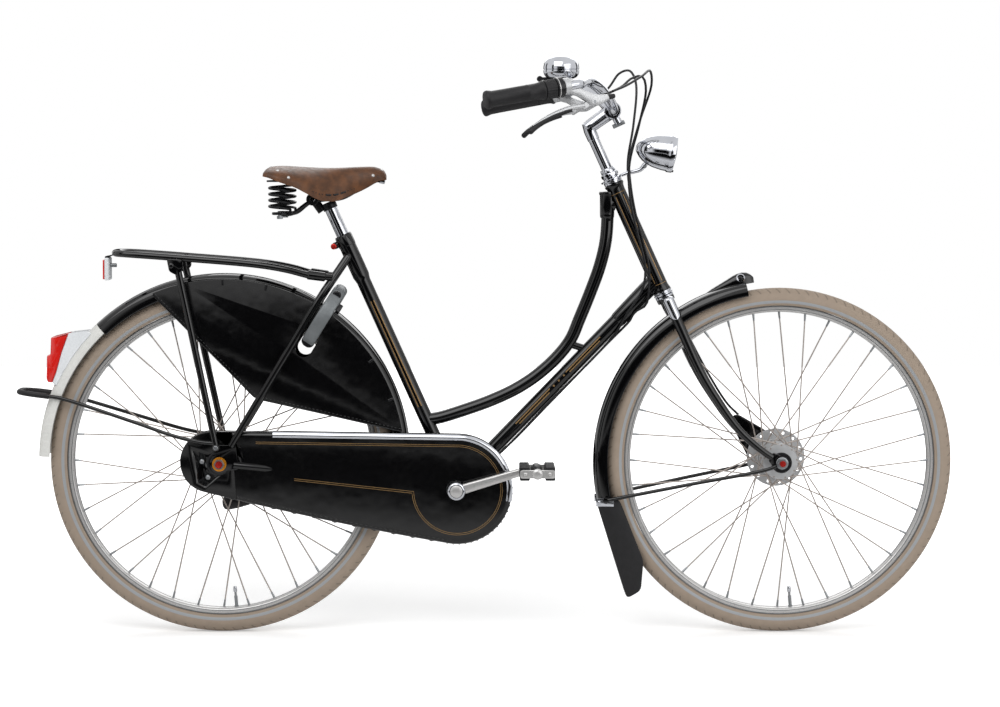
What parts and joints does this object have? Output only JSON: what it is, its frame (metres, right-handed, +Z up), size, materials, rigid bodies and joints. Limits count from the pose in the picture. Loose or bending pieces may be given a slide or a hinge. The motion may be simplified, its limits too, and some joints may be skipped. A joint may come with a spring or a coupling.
{
  "type": "city bicycle",
  "caption": "Upright step-through city bicycle with full chaincase, mudguards, coat guards, carrier, lamps, ring lock and sprung saddle.",
  "frame": {"origin": "midpoint of the bicycle's overall box, at the ground where the tyres stand", "axes": "+X forwards, +Z up, +Y to the rider's left"},
  "size_m": [1.909, 0.6074, 1.1852],
  "materials": {
    "black_paint": "gloss black enamel",
    "black_cloth": "black lacquered cloth, glossy",
    "chrome": "polished",
    "aluminium": "satin",
    "steel": "zinc plated",
    "tyre": "taupe rubber with a grey stripe",
    "black_rubber": "matte",
    "black_plastic": "satin black",
    "leather": "brown saddle leather",
    "white_paint": "white",
    "red_lens": "clear red",
    "lens": "clear",
    "grey_plastic": "silver grey",
    "spring_steel": "black enamel"
  },
  "bodies": {
    "frame": {"head_tube": "black_paint", "top_tube": "black_paint", "down_tube": "black_paint", "seat_tube": "black_paint", "chainstays": "black_paint", "seatstays": "black_paint", "chaincase": "black_cloth", "chain": "steel", "rear_mudguard": "black_paint", "rear_mudguard_tail": "white_paint", "rear_lamp": "white_paint", "rear_lamp_lens": "red_lens", "left_coat_guard": "black_cloth", "right_coat_guard": "black_cloth", "carrier": "black_paint", "rear_stay": "black_paint", "wheel_lock": "grey_plastic", "rear_axle": "steel", "rear_brake_cable": "black_rubber", "gear_cable": "black_rubber"},
    "seatpost": {"seatpost": "chrome", "saddle_frame": "spring_steel", "left_saddle_spring": "spring_steel", "right_saddle_spring": "spring_steel"},
    "saddle_top": {"saddle_leather": "leather"},
    "fork": {"fork": "black_paint", "headset": "chrome", "stem": "chrome", "handlebar": "chrome", "right_grip": "black_rubber", "left_grip": "black_rubber", "gear_housing": "black_plastic", "right_brake_body": "aluminium", "left_brake_body": "aluminium", "headlamp": "chrome", "headlamp_lens": "lens", "headlamp_bracket": "chrome", "front_mudguard": "black_paint", "mud_flap": "black_rubber", "front_stay": "black_paint", "front_axle": "steel", "front_brake_cable": "black_rubber", "bell": "chrome"},
    "right_brake_lever": {"right_brake_lever": "aluminium"},
    "left_brake_lever": {"left_brake_lever": "aluminium"},
    "gear_twist": {"gear_twist_grip": "black_rubber"},
    "bell_lever": {"bell_lever": "black_plastic"},
    "rear_sprocket": {"rear_sprocket": "steel"},
    "right_pedal": {"right_pedal": "black_rubber"},
    "left_pedal": {"left_pedal": "black_rubber"},
    "kickstand": {"kickstand": "black_paint"},
    "lock_bolt": {"lock_bolt": "steel"},
    "front_wheel": {"front_tyre": "tyre", "front_rim": "aluminium", "front_hub_and_spokes": "steel"},
    "rear_wheel": {"rear_tyre": "tyre", "rear_rim": "aluminium", "rear_hub_and_spokes": "steel"},
    "crankset": {"right_crank": "aluminium", "left_crank": "aluminium"}
  },
  "joints": [
    {"name": "steering", "type": "hinge", "parent": "frame", "child": "fork", "pos_m": [0.36341, 0, 0.69631], "axis": [-0.4131, 0, 0.9107], "range_deg": [-50, 50], "deforming": ["rear_brake_cable", "gear_cable"]},
    {"name": "front_wheel_spin", "type": "hinge", "parent": "fork", "child": "front_wheel", "pos_m": [0.60149, 0, 0.353], "axis": [0, 1, 0], "continuous": true},
    {"name": "rear_wheel_spin", "type": "hinge", "parent": "frame", "child": "rear_wheel", "pos_m": [-0.53651, 0, 0.353], "axis": [0, 1, 0], "continuous": true},
    {"name": "crank_spin", "type": "hinge", "parent": "frame", "child": "crankset", "pos_m": [-0.05801, 0, 0.299], "axis": [0, 1, 0], "continuous": true},
    {"name": "sprocket_spin", "type": "hinge", "parent": "frame", "child": "rear_sprocket", "pos_m": [-0.53651, 0, 0.353], "axis": [0, 1, 0], "continuous": true},
    {"name": "right_pedal_spin", "type": "hinge", "parent": "crankset", "child": "right_pedal", "pos_m": [0.10299, 0, 0.347], "axis": [0, 1, 0], "continuous": true},
    {"name": "left_pedal_spin", "type": "hinge", "parent": "crankset", "child": "left_pedal", "pos_m": [-0.21901, 0, 0.251], "axis": [0, 1, 0], "continuous": true},
    {"name": "right_brake", "type": "hinge", "parent": "fork", "child": "right_brake_lever", "pos_m": [0.20881, -0.21695, 1.07913], "axis": [-0.3178, 0.9482, 0], "range_deg": [0, 14], "stiffness_Nm_per_rad": 6},
    {"name": "left_brake", "type": "hinge", "parent": "fork", "child": "left_brake_lever", "pos_m": [0.20881, 0.21695, 1.07913], "axis": [0.3178, 0.9482, 0], "range_deg": [0, 14], "stiffness_Nm_per_rad": 6},
    {"name": "gear_change", "type": "hinge", "parent": "fork", "child": "gear_twist", "pos_m": [0.00283, -0.286, 1.08024], "axis": [0.9344, 0.3132, 0.1699], "range_deg": [0, 110]},
    {"name": "bell_ring", "type": "hinge", "parent": "fork", "child": "bell_lever", "pos_m": [0.16383, 0.205, 1.16524], "axis": [0, 0, 1], "range_deg": [0, 30], "stiffness_Nm_per_rad": 0.05},
    {"name": "saddle_height", "type": "slide", "parent": "frame", "child": "seatpost", "axis": [-0.4115, 0, 0.9114], "range_m": [-0.03, 0.08]},
    {"name": "saddle_sprung", "type": "hinge", "parent": "seatpost", "child": "saddle_top", "pos_m": [-0.22108, 0, 0.94571], "axis": [0, -1, 0], "range_deg": [0, 3.5], "stiffness_Nm_per_rad": 900, "deforming": ["left_saddle_spring", "right_saddle_spring"]},
    {"name": "stand_fold", "type": "hinge", "parent": "frame", "child": "kickstand", "pos_m": [-0.26251, 0.058, 0.287], "axis": [0.2643, -0.9644, 0], "range_deg": [0, 95]},
    {"name": "lock_close", "type": "hinge", "parent": "frame", "child": "lock_bolt", "pos_m": [-0.33064, 0, 0.64405], "axis": [0.8492, 0, -0.5281], "range_deg": [0, 76]}
  ],
  "couplings": [
    {"joint": "sprocket_spin", "follows": "crank_spin", "ratio": 2}
  ]
}
